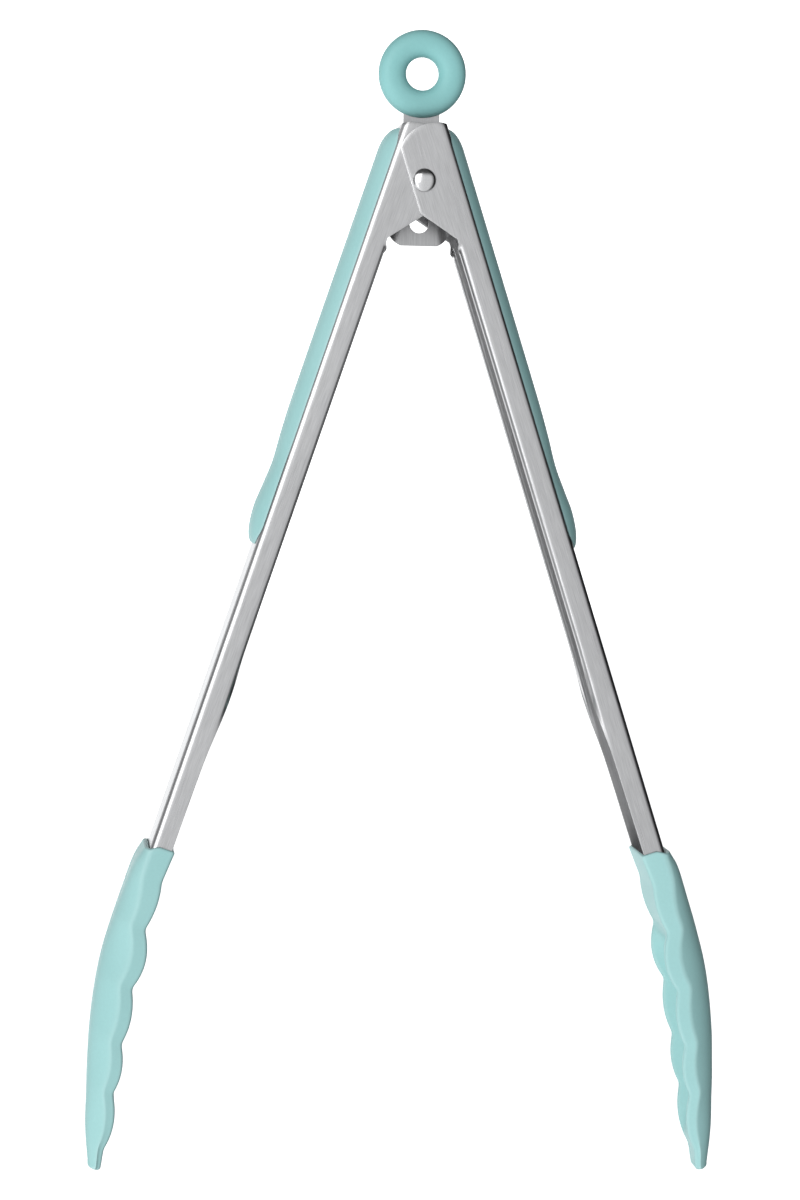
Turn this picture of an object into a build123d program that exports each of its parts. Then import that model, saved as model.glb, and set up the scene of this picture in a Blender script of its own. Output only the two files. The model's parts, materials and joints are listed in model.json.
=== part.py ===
from build123d import *

import os
from math import acos, atan2, cos, degrees, hypot, isclose, log, radians, sin

# Spring loaded kitchen tongs, in millimetres.
# The origin is the centre of the hang hole in the pull ring. +Z is up, so the
# tongs hang below it; +X is towards the right arm and +Y towards the back.
#
# An arm and all it carries are drawn in the arm's own frame, with the arm
# straight down and the pivot at the origin: x is the distance outwards from
# the pivot, y runs across the arm and -z along it. OPEN_ANGLE then swings it.

# Stance
PIVOT_DROP = 27.9  # hang hole to pivot
OPEN_ANGLE = 18.15  # of each arm, from the vertical
LOCK_STROKE = 10.3  # travel of the pull ring

# Arms: folded sheet steel channels, open towards each other
SHEET = 0.8
ARM_WIDTH = 20.0
WEB_FACE = 9.95  # outer face of the channel's web
WEB_RADIUS = 1.7
LIP_EDGE = 3.5  # inner edge of the folded lips
LIP_RADIUS = 1.2
LIP_RETURN = 2.4
TAPER_START = 125.0
TAPER_END = 166.0
TAPER_EDGE = 4.2
ARM_END = 200.0
END_EDGE = 4.35

# Ears: the ends of the arms that lap over each other at the pivot
EAR_TOP = 12.0
EAR_CROWN = (4.1, 13.6)
EAR_SHOULDER = 9.8
EAR_WAIST = 7.8
EAR_FOOT = 16.8
EAR_FOOT_EDGE = 3.9
EAR_END = 17.8
EAR_REACH = 3.4
EAR_LIMIT = 7.9  # of the inner ear, towards the other arm's web
EAR_GAP = 0.1
EAR_LAYER = (SHEET + EAR_GAP) / 2

# Pivot: rivet, sleeve, spacers
RIVET_RADIUS = 1.75
RIVET_FIT = 0.05
RIVET_HEAD_RADIUS = 3.0
RIVET_HEAD_HEIGHT = 1.6
SLEEVE_RADIUS = 2.4
SPACER_BORE = 2.45
FRONT_SPACER_RADIUS = 3.5
WASHER_RADIUS = 4.2
EARS_INSIDE = ARM_WIDTH / 2 - EAR_LAYER - SHEET
SIDE_PLAY = 0.05

# Torsion spring
WIRE_RADIUS = 0.7
COIL_RADIUS = 3.5
COIL_PITCH = 1.5
COIL_FRONT = 2.8
COIL_TURNS = 3
SPRING_REACH = 20.0  # along the arm, where a leg meets the web
BEND_SWELL = 0.06  # where a leg is bent out of the coil

# Lock plate
PLATE = 0.9
NECK_HALF = 4.65
SLOT_HALF = 2.5
SLOT_PLAY = 0.1
SLOT_HIGH = SLOT_PLAY
SLOT_LOW = -(LOCK_STROKE + SLOT_PLAY)
FLAT_HALF = 4.7
WING_RADIUS = 6.0
WING_ANGLE = 38.0
FOOT_HALF = 8.2
FOOT_SHOULDER = (7.6, -6.2)
FOOT_SIDE = (-8.0, -11.4)  # top and bottom of the foot's upright side
FOOT_CORNER = (7.15, -14.3)
FOOT_BOTTOM = -16.2
NECK_BOTTOM = -3.0
TAB_TOP = 21.6
TAB_HOLE_DROP = 2.3

# Pull ring
RING_RADIUS = 11.3
HANG_HOLE_RADIUS = 4.2
RING_THICKNESS = 6.4
RING_ROUND = 2.9
HOLE_ROUND = 2.2
TAB_HOLE_RADIUS = 1.2

# Grips: a stiff insert with pegs through the web, under a soft pad
GRIP_TOP = 11.0
GRIP_CROWN = (12.3, 8.6)
GRIP_CROWN_END = 4.5
GRIP_FACE = 13.0
GRIP_EVEN_END = 62.0
GRIP_WAIST = (12.25, 80.0)
THUMB_REST = (13.1, 91.5)
THUMB_ROUND = (12.4, 98.2)
GRIP_END = 101.8
GRIP_LIFT = (10.45, 80.0)  # where the pad's underside has left the web
GRIP_LIFT_START = 74.0
GRIP_OVERLAP = 1.0
GRIP_HALF = 9.4
GRIP_ROUND = 1.8
INSERT_HALF = 6.0
INSERT_FIT = 0.02
INSERT_TOP = 4.0
INSERT_FACE = ((11.1, 70.0), (11.4, 82.0), (11.7, 96.0))
INSERT_UNDERSIDE = ((10.9, 96.0), (10.6, 80.0))
PEG_RADIUS = 1.9
PEG_HOLE_RADIUS = 2.0
PEG_HEAD_RADIUS = 3.2
PEG_HEAD_HEIGHT = 0.9
PEG_PLACES = (26.0, 66.0)

# Tips: a stiff core inside a silicone scoop with a scalloped rim
TIP_MOUTH = 183.0
TIP_END = 268.5
CORE_SKIN = 1.0
CORE_WALL = 0.9
LINING = 1.2
SCOOP_WALL = 2.9
SCOOP_START = 207.0
SCOOP_END = 259.0
PIN_RADIUS = 1.2
PIN_PLACE = (6.6, 192.0)
PIN_SHORT = 0.1
# (distance along the arm, rim, ridge, back, half width, fullness of the back):
# the fullness is how much of its height the back has FULLNESS_AT half widths out
FULLNESS_AT = 0.74
DOME_STEPS = (0.93, 0.82, 0.66, 0.42)
LEAST_DOME = 0.6
TIP_STATIONS = (
    (183.0, 3.6, 10.0, 11.3, 11.2, 0.95),
    (190.0, 3.0, 9.3, 12.5, 11.4, 0.90),
    (204.0, 2.6, 7.8, 12.7, 11.4, 0.78),
    (220.0, 0.4, 5.6, 12.0, 11.4, 0.72),
    (235.0, -1.8, 2.8, 8.8, 10.6, 0.72),
    (250.0, -4.6, -0.4, 4.1, 8.4, 0.72),
    (262.0, -6.4, -2.6, -0.2, 5.8, 0.74),
    (268.5, -6.9, -4.2, -2.9, 4.2, 0.78),
)
# notches of the rim, and how far the bump after each one stands out of them
RIM_NOTCHES = ((3.9, 183.0), (4.3, 204.3), (2.5, 219.7), (0.3, 234.3), (-2.0, 247.4), (-4.7, 262.5))
RIM_BUMPS = (0.7, 2.0, 1.3, 1.2, 1.2)
RIM_END = (-5.8, 268.5)
RIM_INSIDE = -15.0
RIM_OVERRUN = 3.0
CORE_RIM = 1.4  # how far the core stays back from the rim


def swing_right(shape):
    """Carry a shape from the arm's own frame to the right arm's place."""
    return Pos(0, 0, -PIVOT_DROP) * Rot(0, -OPEN_ANGLE, 0) * Pos(0, -EAR_LAYER, 0) * shape


def swing_left(shape):
    """The left arm is the right one, turned half way round the tongs."""
    return Rot(0, 0, 180) * swing_right(shape)


def at_pivot(shape):
    return Pos(0, 0, -PIVOT_DROP) * shape


def below(out, along):
    """A point of a side outline, from its distances out of and along the arm."""
    return (out, -along)


def side_prism(edges, half_width):
    """A closed side outline, as thick as twice half_width about the middle."""
    return extrude(make_face(Plane.XZ * edges), amount=half_width, both=True)


def run(section, start, end):
    """A cross section carried along the arm."""
    return Pos(0, 0, -start) * extrude(section, amount=end - start, dir=(0, 0, -1))


def cross_bar(radius, low, high, out=0.0, along=0.0):
    """A round bar across the arm, from y = low to y = high."""
    bar = Rot(-90, 0, 0) * Cylinder(radius, high - low, align=(Align.CENTER, Align.CENTER, Align.MIN))
    return Pos(out, low, -along) * bar


def out_bar(radius, low, high, along):
    """A round bar that stands out of the arm, from x = low to x = high."""
    bar = Rot(0, 90, 0) * Cylinder(radius, high - low, align=(Align.CENTER, Align.CENTER, Align.MIN))
    return Pos(low, 0, -along) * bar


def channel_section(low, high, width, web_radius, lip_radius):
    """A rectangle with round corners on its web side, and on its lip side if any."""
    section = Pos((low + high) / 2, 0) * Rectangle(high - low, width)
    section = fillet(section.vertices().group_by(Axis.X)[-1], web_radius)
    if lip_radius:
        section = fillet(section.vertices().group_by(Axis.X)[0], lip_radius)
    return section


def arm_envelope(start, end, low=0.0):
    """The room an arm's channel takes, filled in."""
    return run(channel_section(low, WEB_FACE, ARM_WIDTH, WEB_RADIUS, 0), start, end)


def ear_outline():
    """The side of an arm's head: a round crown, a free edge and a slanted foot."""
    shoulder = below(-EAR_REACH, -EAR_SHOULDER)
    crown_end = below(WEB_FACE, -EAR_TOP)
    outline = ThreePointArc(crown_end, below(EAR_CROWN[0], -EAR_CROWN[1]), shoulder)
    outline += Polyline(
        shoulder,
        below(-EAR_REACH, EAR_WAIST),
        below(EAR_FOOT_EDGE, EAR_FOOT),
        below(EAR_FOOT_EDGE, EAR_END),
        below(WEB_FACE, EAR_END),
        crown_end,
    )
    return outline


def other_web():
    """What the back ear, the inner one, leaves free for the bend of the other arm's web."""
    room = Box(EAR_LIMIT, ARM_WIDTH, 4 * EAR_LIMIT, align=(Align.MIN, Align.MIN, Align.CENTER))
    return Rot(0, 180 + 2 * OPEN_ANGLE, 0) * Pos(EAR_LIMIT, 0, 0) * room


def arm_head():
    """The ears and the web between them."""
    deep = channel_section(-5, WEB_FACE, ARM_WIDTH, WEB_RADIUS, 0)
    hollow = channel_section(-6, WEB_FACE - SHEET, ARM_WIDTH - 2 * SHEET, WEB_RADIUS - SHEET, 0)
    channel = run(deep - hollow, -EAR_END, EAR_END)
    return (channel & side_prism(ear_outline(), ARM_WIDTH)) - other_web()


def arm_shaft():
    """The channel with folded lips, which shallows out towards the tip."""
    outside = channel_section(LIP_EDGE, WEB_FACE, ARM_WIDTH, WEB_RADIUS, LIP_RADIUS)
    inside = channel_section(
        LIP_EDGE + SHEET, WEB_FACE - SHEET, ARM_WIDTH - 2 * SHEET, WEB_RADIUS - SHEET, LIP_RADIUS - SHEET
    )
    mouth = Pos(LIP_EDGE, 0) * Rectangle(2 * SHEET + 1, ARM_WIDTH - 2 * LIP_RETURN)
    shaft = run(outside - inside - mouth, EAR_END, ARM_END)
    slope = (TAPER_EDGE - LIP_EDGE) / (TAPER_END - TAPER_START)
    clear = LIP_EDGE - 1
    taper = Polyline(
        below(clear, TAPER_START - 1 / slope),
        below(TAPER_EDGE, TAPER_END),
        below(END_EDGE, TIP_MOUTH),
        below(END_EDGE, ARM_END + 1),
        below(clear, ARM_END + 1),
        close=True,
    )
    return shaft - side_prism(taper, ARM_WIDTH)


def arm():
    shape = arm_head() + arm_shaft()
    shape -= cross_bar(RIVET_RADIUS + RIVET_FIT, -ARM_WIDTH, ARM_WIDTH)
    shape -= cross_bar(PIN_RADIUS + RIVET_FIT, -ARM_WIDTH, ARM_WIDTH, *PIN_PLACE)
    for along in PEG_PLACES:
        shape -= out_bar(PEG_HOLE_RADIUS, WEB_FACE - 2 * SHEET, WEB_FACE + 1, along)
    return shape


def pivot_rivet():
    """A shank with a low domed head on each end."""
    seat = ARM_WIDTH / 2 + EAR_LAYER + SIDE_PLAY
    dome_radius = (RIVET_HEAD_RADIUS**2 + RIVET_HEAD_HEIGHT**2) / (2 * RIVET_HEAD_HEIGHT)
    dome = Pos(0, seat + RIVET_HEAD_HEIGHT - dome_radius, 0) * Sphere(dome_radius)
    head = dome & cross_bar(RIVET_HEAD_RADIUS, seat, seat + RIVET_HEAD_HEIGHT)
    shank = cross_bar(RIVET_RADIUS, -seat, seat)
    return at_pivot(shank + head + Rot(0, 0, 180) * head)


def pivot_sleeve():
    """The tube that holds the inner ears apart and carries the slot of the lock plate."""
    half = EARS_INSIDE - SIDE_PLAY
    return at_pivot(cross_bar(SLEEVE_RADIUS, -half, half) - cross_bar(RIVET_RADIUS + RIVET_FIT, -half, half))


def plate_spacers():
    """A tube in front of the lock plate and a washer behind it."""
    front = cross_bar(FRONT_SPACER_RADIUS, -EARS_INSIDE + 2 * SIDE_PLAY, -PLATE / 2 - 3 * SIDE_PLAY)
    back = cross_bar(WASHER_RADIUS, PLATE / 2 + 3 * SIDE_PLAY, COIL_FRONT - WIRE_RADIUS - 3 * SIDE_PLAY)
    bore = cross_bar(SPACER_BORE, -ARM_WIDTH, ARM_WIDTH)
    return [at_pivot(front - bore), at_pivot(back - bore)]


def leg_contact():
    """Where the right leg's end meets the web, from the pivot, as (x, z)."""
    out = WEB_FACE - SHEET - WIRE_RADIUS - 2 * SIDE_PLAY
    turn = radians(OPEN_ANGLE)
    return (
        SPRING_REACH * sin(turn) + out * cos(turn),
        -SPRING_REACH * cos(turn) + out * sin(turn),
    )


def torsion_spring():
    """A coil round the sleeve, behind the lock plate, with a leg to each arm's web."""
    x, z = leg_contact()
    start = atan2(z, x) + acos(COIL_RADIUS / hypot(x, z))
    turned = 360 * COIL_TURNS + 180 - 2 * degrees(start)
    height = COIL_PITCH * turned / 360
    path = Rot(0, 0, degrees(start)) * Helix(COIL_PITCH, height, COIL_RADIUS)
    section = Plane(path @ 0, z_dir=path % 0) * Circle(WIRE_RADIUS)
    shape = Pos(0, COIL_FRONT + height, 0) * Rot(90, 0, 0) * sweep(section, path=path)
    for side, level in ((1, COIL_FRONT + height), (-1, COIL_FRONT)):
        first = Vector(side * COIL_RADIUS * cos(start), level, COIL_RADIUS * sin(start))
        last = Vector(side * x, level, z)
        leg = extrude(Plane(first, z_dir=last - first) * Circle(WIRE_RADIUS), amount=(last - first).length)
        shape += leg + Pos(first) * Sphere(WIRE_RADIUS + BEND_SWELL)
    return at_pivot(shape)


def ring_body():
    """The soft ring's outside and hang hole."""
    ring = Rot(90, 0, 0) * Cylinder(RING_RADIUS, RING_THICKNESS)
    ring = fillet(ring.edges().filter_by(GeomType.CIRCLE), RING_ROUND)
    hole = Rot(90, 0, 0) * Cylinder(HANG_HOLE_RADIUS, 2 * RING_THICKNESS)
    ring -= hole
    circles = ring.edges().filter_by(GeomType.CIRCLE)
    rims = [edge for edge in circles if isclose(edge.radius, HANG_HOLE_RADIUS)]
    return fillet(rims, HOLE_ROUND)


def lock_plate():
    """The slotted plate: a flat neck, and a wider foot whose sides bend back."""
    arc_start = (FLAT_HALF, -PLATE / 2)
    centre = (FLAT_HALF, WING_RADIUS - PLATE / 2)
    turn = radians(WING_ANGLE)

    def on_wing(radius, angle):
        return (centre[0] + radius * sin(angle), centre[1] - radius * cos(angle))

    inner = WING_RADIUS - PLATE
    half = Polyline((0, PLATE / 2), (0, -PLATE / 2), arc_start)
    half += ThreePointArc(arc_start, on_wing(WING_RADIUS, turn / 2), on_wing(WING_RADIUS, turn))
    half += Line(on_wing(WING_RADIUS, turn), on_wing(inner, turn))
    half += ThreePointArc(on_wing(inner, turn), on_wing(inner, turn / 2), (FLAT_HALF, PLATE / 2))
    half += Line((FLAT_HALF, PLATE / 2), (0, PLATE / 2))
    section = make_face(half)
    section += mirror(section, about=Plane.YZ)
    strip = Pos(0, 0, FOOT_BOTTOM) * extrude(section, amount=TAB_TOP - FOOT_BOTTOM, dir=(0, 0, 1))

    side = Polyline(
        (0, TAB_TOP),
        (NECK_HALF, TAB_TOP),
        (NECK_HALF, NECK_BOTTOM),
        FOOT_SHOULDER,
        (FOOT_HALF, FOOT_SIDE[0]),
        (FOOT_HALF, FOOT_SIDE[1]),
    )
    side += ThreePointArc((FOOT_HALF, FOOT_SIDE[1]), FOOT_CORNER, (FLAT_HALF, FOOT_BOTTOM))
    side += Polyline((FLAT_HALF, FOOT_BOTTOM), (0, FOOT_BOTTOM), (0, TAB_TOP))
    outline = side_prism(side, 2 * WING_RADIUS)
    outline += mirror(outline, about=Plane.YZ)

    slot = cross_bar(SLOT_HALF, -PLATE, PLATE, 0, -SLOT_HIGH)
    slot += cross_bar(SLOT_HALF, -PLATE, PLATE, 0, -SLOT_LOW)
    slot += Pos(0, 0, (SLOT_HIGH + SLOT_LOW) / 2) * Box(2 * SLOT_HALF, 2 * PLATE, SLOT_HIGH - SLOT_LOW)
    key = cross_bar(TAB_HOLE_RADIUS, -PLATE, PLATE, 0, TAB_HOLE_DROP - TAB_TOP)
    return at_pivot((strip & outline) - slot - key)


def grip_outline():
    """The pad from the side: a rounded top, an even body, a waist and a thumb rest."""
    under = WEB_FACE - GRIP_OVERLAP
    top = below(under, -GRIP_TOP)
    crown_end = below(GRIP_FACE, -GRIP_CROWN_END)
    even_end = below(GRIP_FACE, GRIP_EVEN_END)
    tail = below(GRIP_LIFT[0], GRIP_END)
    edges = ThreePointArc(top, below(GRIP_CROWN[0], -GRIP_CROWN[1]), crown_end)
    edges += Line(crown_end, even_end)
    edges += Spline(even_end, below(*GRIP_WAIST), below(*THUMB_REST), tangents=[(0, -1), (0, -1)])
    edges += ThreePointArc(below(*THUMB_REST), below(*THUMB_ROUND), tail)
    edges += Polyline(
        tail,
        below(*GRIP_LIFT),
        below(WEB_FACE, GRIP_LIFT_START),
        below(under, GRIP_LIFT_START),
        top,
    )
    return edges


def grip_insert():
    """The stiff strip under the pad, with a staked peg at each place."""
    base = WEB_FACE + INSERT_FIT
    outline = Polyline(
        below(base, -INSERT_TOP),
        below(INSERT_FACE[0][0], -INSERT_TOP),
        *[below(*point) for point in INSERT_FACE],
        *[below(*point) for point in INSERT_UNDERSIDE],
        below(base, GRIP_LIFT_START),
        close=True,
    )
    shape = side_prism(outline, INSERT_HALF)
    web_inside = WEB_FACE - SHEET - INSERT_FIT
    for along in PEG_PLACES:
        shape += out_bar(PEG_RADIUS, web_inside - PEG_HEAD_HEIGHT / 2, base + INSERT_FIT, along)
        shape += out_bar(PEG_HEAD_RADIUS, web_inside - PEG_HEAD_HEIGHT, web_inside, along)
    return shape


def grip():
    pad = side_prism(grip_outline(), GRIP_HALF)
    rounded = channel_section(0, THUMB_REST[0], 2 * GRIP_HALF, GRIP_ROUND, 0)
    pad = pad & run(rounded, -2 * GRIP_TOP, GRIP_END + GRIP_TOP)
    return pad - arm_envelope(-2 * GRIP_TOP, GRIP_END + GRIP_TOP) - grip_insert()


def tip_section(station, inset):
    """One cross section of the tip, shrunk by inset at its sides and back."""
    along, rim, ridge, back, half, fullness = station
    half -= inset
    back -= inset
    ridge = min(ridge, back - LEAST_DOME)
    low = rim - 3 * inset
    power = log(1 - fullness) / log(FULLNESS_AT)
    flank = [(ridge + (back - ridge) * (1 - step**power), step * half) for step in DOME_STEPS]
    other_flank = [(out, -across) for out, across in reversed(flank)]
    dome = Spline([(ridge, half), *flank, (back, 0), *other_flank, (ridge, -half)])
    rest = Polyline((ridge, -half), (low, -half), (low, half), (ridge, half))
    return Pos(0, 0, -along) * make_face(dome + rest)


def tip_loft(inset, start=TIP_MOUTH, end=TIP_END):
    """The tip's outer form, shrunk by inset, between two places along the arm."""
    form = loft([tip_section(station, inset) for station in TIP_STATIONS])
    reach = 60
    between = Pos(0, 0, -(start + end) / 2) * Box(reach, reach, end - start)
    return form & between


def rim_outline(offset):
    """What lies inside the scalloped rim, with the rim moved out by offset."""
    points = [(out + offset, along) for out, along in RIM_NOTCHES]
    first, last = points[0], points[-1]
    end = (RIM_END[0] + offset, RIM_END[1])
    edges = Polyline(
        below(*end),
        below(end[0], end[1] + RIM_OVERRUN),
        below(RIM_INSIDE, end[1] + RIM_OVERRUN),
        below(RIM_INSIDE, first[1] - RIM_OVERRUN),
        below(first[0], first[1] - RIM_OVERRUN),
        below(*first),
    )
    for (out, along), (next_out, next_along), bump in zip(points, points[1:], RIM_BUMPS):
        crest = ((out + next_out) / 2 - bump, (along + next_along) / 2)
        edges += ThreePointArc(below(out, along), below(*crest), below(next_out, next_along))
    edges += Line(below(*last), below(*end))
    return edges


def tip_core():
    """The stiff core: a tang in the channel, a bulkhead and a shell in the scoop's wall."""
    tang_low = END_EDGE + 0.1
    tang_high = WEB_FACE - SHEET - 0.05
    tang_half = ARM_WIDTH / 2 - SHEET - 0.1
    section = channel_section(tang_low, tang_high, 2 * tang_half, WEB_RADIUS - SHEET, 0)
    core = run(section, TIP_MOUTH + 2, ARM_END + 1)
    shell = tip_loft(CORE_SKIN, ARM_END + 0.3, SCOOP_END + 3)
    shell -= tip_loft(CORE_SKIN + CORE_WALL, SCOOP_START - LINING, SCOOP_END + LINING)
    shell -= side_prism(rim_outline(CORE_RIM), ARM_WIDTH)
    core += shell
    return core - cross_bar(PIN_RADIUS + RIVET_FIT, -ARM_WIDTH, ARM_WIDTH, *PIN_PLACE)


def silicone_tip(core):
    """The silicone over the core: a sleeve on the arm's end and a scalloped scoop."""
    tip = tip_loft(0) - side_prism(rim_outline(0), ARM_WIDTH)
    tip -= tip_loft(SCOOP_WALL, SCOOP_START, SCOOP_END)
    tip -= arm_envelope(TIP_MOUTH - 1, ARM_END, END_EDGE)
    return tip - core


def tip_pin():
    """The pin across the channel that holds the core, just short of the flanges' faces."""
    half = ARM_WIDTH / 2 - PIN_SHORT
    return cross_bar(PIN_RADIUS, -half, half, *PIN_PLACE)


def save(name, shapes):
    """Write one node, made of one solid or a group of separate ones."""
    group = shapes if isinstance(shapes, list) else [shapes]
    solids = [solid for shape in group for solid in shape.solids()]
    whole = solids[0] if len(solids) == 1 else Compound(children=solids)
    export_step(whole, f"parts/{name}.step")


def main():
    os.makedirs("parts", exist_ok=True)
    steel = arm()
    pad = grip()
    insert = grip_insert()
    core = tip_core()
    scoop = silicone_tip(core)
    pin = tip_pin()
    for side, swing in (("left", swing_left), ("right", swing_right)):
        save(f"{side}_arm", swing(steel))
        save(f"{side}_grip", swing(pad))
        save(f"{side}_grip_insert", swing(insert))
        save(f"{side}_tip_core", swing(core))
        save(f"{side}_silicone_tip", swing(scoop))
        save(f"{side}_tip_pin", swing(pin))
    plate = lock_plate()
    save("lock_plate", plate)
    save("pull_ring", ring_body() - plate)
    save("pivot_rivet", pivot_rivet())
    save("pivot_sleeve", pivot_sleeve())
    save("plate_spacers", plate_spacers())
    save("torsion_spring", torsion_spring())


main()
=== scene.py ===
"""Spring loaded kitchen tongs: the looks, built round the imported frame.

Shapes are drawn in millimetres. What an arm carries is drawn in the arm's own
frame: x is the distance outwards, y runs across the arm and -z along it, with
the pivot at the origin. A side point is written (out, along).
"""
import json
import math

import bmesh
import bpy
from mathutils import Matrix, Vector


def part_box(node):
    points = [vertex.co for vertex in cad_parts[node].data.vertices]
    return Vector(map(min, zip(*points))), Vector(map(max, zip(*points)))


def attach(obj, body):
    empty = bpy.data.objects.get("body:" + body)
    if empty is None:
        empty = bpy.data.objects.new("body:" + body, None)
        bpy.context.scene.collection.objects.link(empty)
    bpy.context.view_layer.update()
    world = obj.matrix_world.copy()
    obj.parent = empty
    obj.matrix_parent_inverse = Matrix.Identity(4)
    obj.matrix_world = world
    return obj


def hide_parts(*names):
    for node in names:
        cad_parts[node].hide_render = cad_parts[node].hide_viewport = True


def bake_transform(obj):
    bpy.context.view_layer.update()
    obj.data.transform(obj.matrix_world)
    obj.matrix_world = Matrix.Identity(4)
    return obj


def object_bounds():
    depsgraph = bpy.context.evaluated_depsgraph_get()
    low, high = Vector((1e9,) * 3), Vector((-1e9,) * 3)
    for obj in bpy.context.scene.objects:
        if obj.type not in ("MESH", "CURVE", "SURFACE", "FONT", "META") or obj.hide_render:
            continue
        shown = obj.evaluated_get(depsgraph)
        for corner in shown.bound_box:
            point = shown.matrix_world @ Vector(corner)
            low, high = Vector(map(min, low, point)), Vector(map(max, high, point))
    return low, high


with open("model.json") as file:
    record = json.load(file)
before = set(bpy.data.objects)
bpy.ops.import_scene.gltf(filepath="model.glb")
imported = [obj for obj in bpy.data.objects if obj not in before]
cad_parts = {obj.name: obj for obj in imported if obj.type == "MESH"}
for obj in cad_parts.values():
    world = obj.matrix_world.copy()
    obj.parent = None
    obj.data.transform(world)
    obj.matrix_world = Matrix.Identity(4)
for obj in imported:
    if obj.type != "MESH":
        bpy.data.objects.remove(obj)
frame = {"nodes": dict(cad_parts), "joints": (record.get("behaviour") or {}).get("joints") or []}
cad_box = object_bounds()

MM = 0.001
SIDES = ("left", "right")
JOINTS = {joint["name"]: joint for joint in frame["joints"]}

# Camera
CAMERA_PLACE = (-0.0900, -0.8560, -0.0877)
CAMERA_YAW = 5.81
CAMERA_PITCH = -3.19
CAMERA_ROLL = 1.2
CAMERA_LENS = 99.6
CAMERA_SENSOR = 36.0
CAMERA_CLIP = (0.01, 50)

# Arms
SHEET = 0.8
ARM_HALF = 10.0
WEB_FACE = 9.95
WEB_RADIUS = 1.7
LIP_RADIUS = 1.2
LIP_EDGE = 3.5
LIP_LENGTH = 3.09
LIP_STUB = 0.8
LIP_LEFT = 0.5
ARM_END = 200.0
CROWN = ((9.95, -12.0), (4.1, -13.6), (-3.4, -9.8))
EAR_EDGE = ((-3.4, -9.8), (-3.4, 7.8), (3.9, 16.8), (3.9, 17.8))
EAR_STEPS = (14, 9, 2)
EAR_LIMIT = 7.9
LIP_START = 17.8
LIP_FULL = 21.2
TAPER_START = 125.0
TAPER_END = 166.0
TAPER_EDGE = 4.2
END_EDGE = 4.35
LIP_GONE = 160.0
TIP_PIN = (6.6, 192.0)
EDGE_ROUND = 0.18
WEB_COLUMNS = 3
CORNER_COLUMNS = 6
FLANGE_COLUMNS = 6
LIP_COLUMNS = 8

# Tips, against the distance along the arm
TIP_MOUTH = 183.0
TIP_END = 268.5
TIP_BACK = (
    (183.0, 11.3), (188.0, 12.4), (195.0, 12.75), (212.0, 12.7), (222.0, 11.6),
    (232.6, 9.45), (243.0, 6.6), (250.0, 4.4), (259.0, 1.55), (268.5, -2.5),
)
TIP_HALF = (
    (183.0, 11.2), (190.0, 11.4), (220.0, 11.4), (235.0, 10.6), (250.0, 8.4),
    (262.0, 5.8), (268.5, 4.2),
)
TIP_BAND = (
    (183.0, 6.3), (193.0, 5.4), (204.0, 4.1), (220.0, 3.5), (234.0, 3.2),
    (247.0, 2.8), (262.0, 1.7), (268.5, 1.2),
)
TIP_FULLNESS = (
    (183.0, 9.0), (190.0, 6.0), (204.0, 4.0), (220.0, 3.4), (262.0, 3.5), (268.5, 4.0),
)
RIM_NOTCHES = (
    (183.0, 3.5), (191.5, 4.15), (204.3, 4.3), (219.7, 2.5), (234.3, 0.3),
    (247.4, -2.0), (262.5, -4.7),
)
RIM_BUMPS = (0.0, 0.85, 2.0, 1.3, 1.3, 1.5)
RIM_END = (268.5, -5.8)
RIM_BLUR = 0.5
RIM_ROUND = 0.9
RIDGE_SHARE = 0.85
RIDGE_BLUR = 0.9
SCOOP = (202.0, 217.0, 250.0, 261.0)
SCOOP_WALL = 2.7
SCOOP_LEDGE = 0.12
BAND_TUCK = 0.5
RIM_COLUMNS = 4
BAND_COLUMNS = 5
DOME_COLUMNS = 15
ARC_STEPS = 80
TIP_STEPS = 150
END_ROUND = 1.0
END_DRAWN_IN = 0.85

# The socket of a tip
SOCKET_LOW = 4.25
SOCKET_HIGH = 10.2
SOCKET_HALF = 10.22
SOCKET_CORNER = 1.8
SOCKET_RINGS = (ARM_END + 0.2, 190.0, TIP_MOUTH + 0.3, TIP_MOUTH)
MOUTH_ROUND = 0.5
MOUTH_DROP = 1.2
MOUTH_DROP_FROM = 7.6
MOUTH_DROP_END = 8.0

# Grips, against the distance along the arm
GRIP_TOP = 11.0
GRIP_END = 101.8
GRIP_FLAT = (-4.5, 91.5)
GRIP_PROFILE = (
    (GRIP_FLAT[0], 13.0), (62.0, 13.0), (72.0, 12.75), (80.0, 12.3), (86.0, 12.65),
    (GRIP_FLAT[1], 13.1),
)
GRIP_TOP_FOOT, GRIP_TOP_RISE, GRIP_TOP_ROUND = 9.97, 3.03, 6.5
GRIP_END_FOOT, GRIP_END_RISE, GRIP_END_ROUND = 10.45, 2.65, 10.3
GRIP_HALF = 9.4
GRIP_GAP = 0.02
GRIP_LIFT = 0.1
GRIP_LIFT_FROM = 72.0
GRIP_LIFT_LENGTH = 10.0
GRIP_FULLNESS = 3.0
GRIP_CORNER = 5.0
GRIP_CORNER_SHARE = 0.75
GRIP_ARC_STEPS = 60
GRIP_COLUMNS = 19

# Ring and rivet
RING_HOLE = 4.2
RING_POWER = 0.88
RING_STEPS = 44
RING_TURNS = 112
RIVET_SHANK = 1.75
RIVET_HEAD = 1.6
RIVET_RIM = 0.3
RIVET_DOME = 1.3
RIVET_CHAMFER = (0.15, 0.12)
RIVET_STEPS = 14
RIVET_TURNS = 72

# Spring
WIRE_RADIUS = 0.7
WIRE_SIDES = 16
COIL_RADIUS = 3.5
COIL_TURNS = 3
COIL_STEPS = 180
LEG_STEPS = 24

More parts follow.
